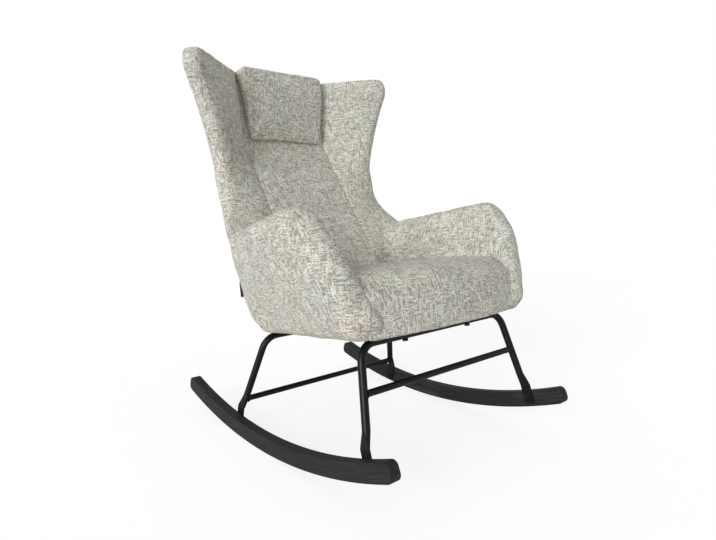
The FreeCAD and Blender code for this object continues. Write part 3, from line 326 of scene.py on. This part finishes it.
def puff(piece, plan):
    # stuffing pressure pushes the cover out, most where nothing holds it
    start = [vertex.co.copy() for vertex in piece.data.vertices]
    held = piece.vertex_groups.new(name="held")
    for vertex in piece.data.vertices:
        if plan["held"](toLevel @ vertex.co):
            held.add([vertex.index], 1.0, "REPLACE")
    cover = {
        "quality": 3, "tension_stiffness": 18, "compression_stiffness": 18, "shear_stiffness": 8,
        "bending_stiffness": 1.5, "vertex_group_mass": "held", "use_pressure": True,
        "uniform_pressure_force": plan["pressure"],
    }
    firstFrame, lastFrame = 1, 20
    cloth = piece.modifiers.new("stuffing", "CLOTH")
    for name, choice in cover.items():
        setattr(cloth.settings, name, choice)
    cloth.settings.effector_weights.gravity = 0
    cloth.collision_settings.use_collision = False
    cloth.point_cache.frame_start = firstFrame
    cloth.point_cache.frame_end = lastFrame
    for number in range(firstFrame, lastFrame + 1):
        scene.frame_set(number)
    bake(piece)
    scene.frame_set(firstFrame)
    furthest = max((vertex.co - place).length for vertex, place in zip(piece.data.vertices, start))
    share = min(1.0, plan["cap"] / furthest)
    for vertex, place in zip(piece.data.vertices, start):
        vertex.co = place.lerp(vertex.co, share)
    addModifier(piece, "SMOOTH", factor=0.5, iterations=5)
    bake(piece)
    print(piece.name, "puffed", round(furthest * 1000, 1), "mm, kept", round(share, 2))


def nudge(piece, levelSpot, radius, levelMove):
    # a soft pull on the part of a cover that lies near a spot
    spot = toRest @ Vector(levelSpot)
    move = toRest.to_3x3() @ Vector(levelMove)
    for vertex in piece.data.vertices:
        nearness = 1 - ((vertex.co - spot).length / radius) ** 2
        if nearness > 0:
            vertex.co += move * nearness ** 2


def distanceTo(place, path):
    least = 1.0
    for start, end in zip(path, path[1:]):
        run = end - start
        part = min(1.0, max(0.0, (place - start).dot(run) / run.length_squared))
        least = min(least, (place - start - run * part).length)
    return least


def pressSeam(piece, levelPath, depth, width):
    # a stitched line draws the cover in, and a depth below zero raises a ridge
    path = [toRest @ Vector(place) for place in levelPath]
    moves = []
    for vertex in piece.data.vertices:
        distance = distanceTo(vertex.co, path)
        if distance < 3 * width:
            moves.append((vertex, vertex.normal * depth * math.exp(-(distance / width) ** 2)))
    for vertex, move in moves:
        vertex.co -= move


def layThreads(piece):
    # how far each place faces sideways, forwards and up, so its threads run along it
    facing = piece.data.attributes.new("facing", "FLOAT_COLOR", "POINT")
    turn = toLevel.to_3x3()
    for vertex, share in zip(piece.data.vertices, facing.data):
        weights = [abs(part) ** 6 for part in turn @ vertex.normal]
        share.color = (*(weight / sum(weights) for weight in weights), 1)


def finishSoft(piece, nodeNames):
    padding = {"lumpSize": 0.07, "lumpHeight": 0.0045}
    lumps = bpy.data.textures.get("lumps") or bpy.data.textures.new("lumps", "CLOUDS")
    lumps.noise_scale = padding["lumpSize"]
    addModifier(piece, "DISPLACE", strength=padding["lumpHeight"], mid_level=0.5, texture=lumps)
    addModifier(piece, "SUBSURF", levels=1, render_levels=1)
    bake(piece)
    piece.data.materials.clear()
    piece.data.materials.append(tweed)
    layThreads(piece)
    for face in piece.data.polygons:
        face.use_smooth = True
    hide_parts(*nodeNames)


def makeShells():
    plan = {
        "voxel": 0.0065, "closing": 0.024, "smoothing": 7, "pressure": 4.0, "cap": 0.007,
        "held": lambda place: place.z < 0.33 or place.x < 0.16,
        "armSeam": {"levelPath": [(0.262, 0.19, 0.58), (0.245, 0.185, 0.52), (0.225, 0.18, 0.46)],
                    "depth": 0.006, "width": 0.006},
        "backCrease": {"levelPath": [(0.146, 0.160, 0.47), (0.146, 0.245, 0.62), (0.146, 0.383, 0.885),
                                     (0.146, 0.39, 1.08)],
                       "depth": 0.004, "width": 0.012},
        "pulls": [
            {"levelSpot": (0.375, 0.19, 0.59), "radius": 0.13, "levelMove": (-0.020, 0, -0.004)},
            {"levelSpot": (0.315, 0.265, 0.655), "radius": 0.13, "levelMove": (-0.018, 0.004, -0.010)},
            {"levelSpot": (0.29, 0.27, 0.43), "radius": 0.16, "levelMove": (0.008, 0.002, 0)},
            {"levelSpot": (0.262, 0.21, 0.32), "radius": 0.09, "levelMove": (0.012, 0.008, -0.004)},
            {"levelSpot": (0.363, -0.19, 0.585), "radius": 0.08, "levelMove": (0, 0.008, -0.008)},
            {"levelSpot": (0.255, -0.235, 0.325), "radius": 0.085, "levelMove": (-0.012, -0.016, -0.004)},
        ],
    }
    left = looseCopy("leftShell", ("left_arm", "left_wing"))
    block = soften(left, plan)
    puff(left, plan)
    hug(left, block)
    pressSeam(left, **plan["armSeam"])
    pressSeam(left, **plan["backCrease"])
    for pull in plan["pulls"]:
        nudge(left, **pull)
    mirrored = bmesh.new()
    mirrored.from_mesh(left.data)
    bmesh.ops.scale(mirrored, vec=(-1, 1, 1), verts=mirrored.verts)
    bmesh.ops.recalc_face_normals(mirrored, faces=mirrored.faces)
    right = newPiece("rightShell", mirrored)
    for piece, name in ((left, "left"), (right, "right")):
        finishSoft(piece, (name + "_arm", name + "_wing"))
    print("shells made")


def makeSeat():
    plan = {
        "voxel": 0.006, "closing": 0.012, "smoothing": 8, "pressure": 4.0, "cap": 0.012,
        "widen": 0.006, "held": lambda place: place.z < 0.315 or place.y > 0.13,
        "toe": {"widen": 0.24, "frontFrom": -0.20, "frontRun": 0.05, "lowFrom": 0.42, "lowRun": 0.08},
        "fold": {"levelPath": [(-0.165, -0.18, 0.455), (-0.165, -0.27, 0.42), (-0.165, -0.29, 0.33)],
                 "depth": -0.0035, "width": 0.005},
    }
    nodeNames = ("seat_cushion", "front_band")
    seat = looseCopy("seatCushion", nodeNames, plan["widen"])
    # the front goes on behind the rounded toes of the arms
    toe = plan["toe"]
    for vertex in seat.data.vertices:
        place = toLevel @ vertex.co
        front = min(1.0, max(0.0, (toe["frontFrom"] - place.y) / toe["frontRun"]))
        low = min(1.0, max(0.0, (toe["lowFrom"] - place.z) / toe["lowRun"]))
        vertex.co.x *= 1 + toe["widen"] * front * low
    block = soften(seat, plan)
    puff(seat, plan)
    hug(seat, block)
    pressSeam(seat, **plan["fold"])
    finishSoft(seat, nodeNames)
    print("seat made")


def roundTop(mesh, radius):
    # the upper corners of a pad are drawn in to a round
    places = [toLevel @ vertex.co for vertex in mesh.vertices]
    top = max(place.z for place in places)
    half = max(place.x for place in places if place.z > top - radius)
    for vertex, place in zip(mesh.vertices, places):
        away = Vector((abs(place.x) - half + radius, 0, place.z - top + radius))
        if away.x > 0 and away.z > 0 and away.length > radius:
            drawn = away.normalized() * radius
            side = math.copysign(half - radius + drawn.x, place.x)
            vertex.co = toRest @ Vector((side, place.y, top - radius + drawn.z))


def makeBack():
    plan = {
        "voxel": 0.006, "closing": 0, "smoothing": 8, "pressure": 4.0, "cap": 0.010, "widen": 0.012,
        "held": lambda place: place.z < 0.40 or abs(place.x) > 0.145, "tuck": 0.014, "tuckBand": 0.03,
    }
    headPlan = {
        **plan, "voxel": 0.005, "cap": 0.006, "widen": 0.006, "topRound": 0.03,
        "held": lambda place: place.y > 0.40 and place.z < 1.09,
    }
    for name, nodeName, rise in (("backPad", "back_pad", 0), ("outerBack", "outer_back", plan["tuck"])):
        piece = looseCopy(name, (nodeName,), plan["widen"])
        # the top of the outer back is tucked up under the headrest
        top = max((toLevel @ vertex.co).z for vertex in piece.data.vertices)
        for vertex in piece.data.vertices:
            if (toLevel @ vertex.co).z > top - plan["tuckBand"]:
                vertex.co += upWay * rise
        block = soften(piece, plan)
        puff(piece, plan)
        hug(piece, block)
        finishSoft(piece, (nodeName,))
    headrest = looseCopy("headrest", ("headrest_pad",), headPlan["widen"])
    block = soften(headrest, headPlan)
    for mesh in (headrest.data, block):
        roundTop(mesh, headPlan["topRound"])
    puff(headrest, headPlan)
    hug(headrest, block)
    finishSoft(headrest, ("headrest_pad",))
    print("back made")


def levelBox(nodeName):
    places = [toLevel @ vertex.co for vertex in cadNodes[nodeName].data.vertices]
    low = Vector([min(place[axis] for place in places) for axis in range(3)])
    high = Vector([max(place[axis] for place in places) for axis in range(3)])
    return low, high


def clothGrid(name, width, length, cells, shape, place):
    # a flat cloth of the given size, shaped by a height for each place on it
    cloth = bmesh.new()
    bmesh.ops.create_grid(cloth, x_segments=cells[0], y_segments=cells[1], size=0.5)
    bmesh.ops.scale(cloth, vec=(width, length, 1), verts=cloth.verts)
    for vertex in cloth.verts:
        vertex.co.z = shape(2 * vertex.co.x / width, 2 * vertex.co.y / length)
    bmesh.ops.transform(cloth, matrix=place, verts=cloth.verts)
    piece = newPiece(name, cloth)
    for face in piece.data.polygons:
        face.use_smooth = True
    return piece


def makeDustCover():
    cloth = {"sag": 0.003, "cells": (36, 44)}
    low, high = levelBox("dust_cover")
    middle = (low + high) / 2
    sag = lambda across, deep: -cloth["sag"] * (1 - across ** 2) * (1 - deep ** 2)
    cover = clothGrid("dustCover", high.x - low.x, high.y - low.y, cloth["cells"], sag,
                      toRest @ Matrix.Translation(middle))
    weave = makeWovenCloth("dustCloth", (0.006, 0.006, 0.006), (0.022, 0.022, 0.022), 260.0)
    cover.data.materials.append(weave)
    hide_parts("dust_cover")


def makeTab():
    tab = {"width": 0.022, "height": 0.042, "curl": 0.0012, "heading": math.radians(145), "sewnIn": 0.005}
    low, high = levelBox("label_tab")
    foot = Vector((high.x, low.y, (low.z + high.z) / 2))
    turn = Matrix.Rotation(tab["heading"], 4, "Z") @ Matrix.Rotation(math.pi / 2, 4, "X")
    curl = lambda out, high: tab["curl"] * out * abs(out)
    out = Matrix.Translation((tab["width"] / 2 - tab["sewnIn"], 0, 0))
    piece = clothGrid("labelTab", tab["width"], tab["height"], (8, 14), curl,
                      toRest @ Matrix.Translation(foot) @ turn @ out)
    weave = makeWovenCloth("tabCloth", (0.004, 0.004, 0.004), (0.02, 0.02, 0.02), 400.0)
    piece.data.materials.append(weave)
    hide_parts("label_tab")


def makeStraps():
    # three straps each way, with a little give in the middle
    strap = {"count": 3, "width": 0.05, "give": 0.002, "cells": (6, 60)}
    cloth = makeWovenCloth("strapCloth", (0.10, 0.085, 0.065), (0.30, 0.27, 0.22), 160.0)
    sag = lambda across, deep: -strap["give"] * (1 - deep ** 2)
    ways = (("lengthStrap", "webbing_lengthwise", 0), ("crossStrap", "webbing_crosswise", 90))
    for name, nodeName, turn in ways:
        low, high = levelBox(nodeName)
        middle = (low + high) / 2
        span = high - low if turn == 0 else Vector((high.y - low.y, high.x - low.x, 0))
        for number in range(strap["count"]):
            shift = (span.x - strap["width"]) * (number / (strap["count"] - 1) - 0.5)
            place = Matrix.Translation(middle) @ Matrix.Rotation(math.radians(turn), 4, "Z")
            piece = clothGrid(f"{name}{number + 1}", strap["width"], span.y, strap["cells"], sag,
                              toRest @ place @ Matrix.Translation((shift, 0, 0)))
            piece.data.materials.append(cloth)
        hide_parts(nodeName)


def makeSheets():
    makeDustCover()
    makeTab()
    makeStraps()
    print("sheets made")


def dressNodes():
    stained, steel, zinc, wood = makeStainedWood(), makeBlackSteel(), makeZincSteel(), makeInnerWood()
    finishes = {"stained_wood": stained, "black_steel": steel, "zinc_steel": zinc, "inner_wood": wood}
    slots = {part["node"]: part["material_slot"] for part in frame["record"]["subparts"]}
    for name, node in cadNodes.items():
        if slots[name] in finishes:
            node.data.materials.clear()
            node.data.materials.append(finishes[slots[name]])
    print("nodes dressed")


def makeStage():
    paint = {"reach": 6.0, "white": (0.96, 0.96, 0.96, 1), "glow": 1.15, "glowShare": 0.7}
    shape = bmesh.new()
    bmesh.ops.create_grid(shape, x_segments=1, y_segments=1, size=paint["reach"])
    mesh = bpy.data.meshes.new("floor")
    shape.to_mesh(mesh)
    shape.free()
    floor = bpy.data.objects.new("floor", mesh)
    scene.collection.objects.link(floor)
    material, shader, place = newMaterial("floorPaint")
    shader.inputs["Base Color"].default_value = paint["white"]
    shader.inputs["Roughness"].default_value = 0.9
    shader.inputs["Specular IOR Level"].default_value = 0.0
    # seen straight on, the floor is nearly all white and keeps a faint shadow
    tree = material.node_tree
    path = tree.nodes.new("ShaderNodeLightPath")
    glow = tree.nodes.new("ShaderNodeEmission")
    glow.inputs["Strength"].default_value = paint["glow"]
    mixed = tree.nodes.new("ShaderNodeMixShader")
    share = Wire(tree, path.outputs["Is Camera Ray"]) * paint["glowShare"]
    tree.links.new(share.socket, mixed.inputs[0])
    tree.links.new(shader.outputs[0], mixed.inputs[1])
    tree.links.new(glow.outputs[0], mixed.inputs[2])
    tree.links.new(mixed.outputs[0], tree.nodes["Material Output"].inputs["Surface"])
    mesh.materials.append(material)
    print("floor laid")


def makeLight():
    lamp = {"level": 2.05, "spread": 0.5, "towards": (0.89, 0.28, -0.29), "around": 0.485}
    light = bpy.data.lights.new("key", "SUN")
    light.energy = lamp["level"]
    light.angle = lamp["spread"]
    key = bpy.data.objects.new("key", light)
    key.rotation_euler = Vector(lamp["towards"]).to_track_quat("-Z", "Y").to_euler()
    scene.collection.objects.link(key)
    world = bpy.data.worlds.new("white")
    world.use_nodes = True
    scene.world = world
    tree = world.node_tree
    ground = tree.nodes["Background"]
    path = tree.nodes.new("ShaderNodeLightPath")
    seen = Wire(tree, path.outputs["Is Camera Ray"])
    level = seen * (1.0 - lamp["around"]) + lamp["around"]
    tree.links.new(level.socket, ground.inputs["Strength"])
    ground.inputs["Color"].default_value = (1, 1, 1, 1)
    scene.view_settings.view_transform = "Standard"
    print("light set")


def makeCamera():
    shot = {"place": (-1.0110, -1.1745, 0.6747), "yaw": 0.706, "pitch": 0.1431, "roll": 0.0027,
            "lens": 27.44}
    lens = bpy.data.cameras.new("camera")
    lens.lens = shot["lens"]
    lens.sensor_width = 36
    camera = bpy.data.objects.new("camera", lens)
    camera.matrix_world = (Matrix.Translation(shot["place"]) @ Matrix.Rotation(-shot["yaw"], 4, "Z")
                           @ Matrix.Rotation(math.pi / 2 - shot["pitch"], 4, "X")
                           @ Matrix.Rotation(shot["roll"], 4, "Z"))
    scene.collection.objects.link(camera)
    scene.camera = camera
    print("camera set")


tweed = makeUpholstery()
makeShells()
makeSeat()
makeBack()
makeSheets()
dressNodes()
makeStage()
makeLight()
makeCamera()
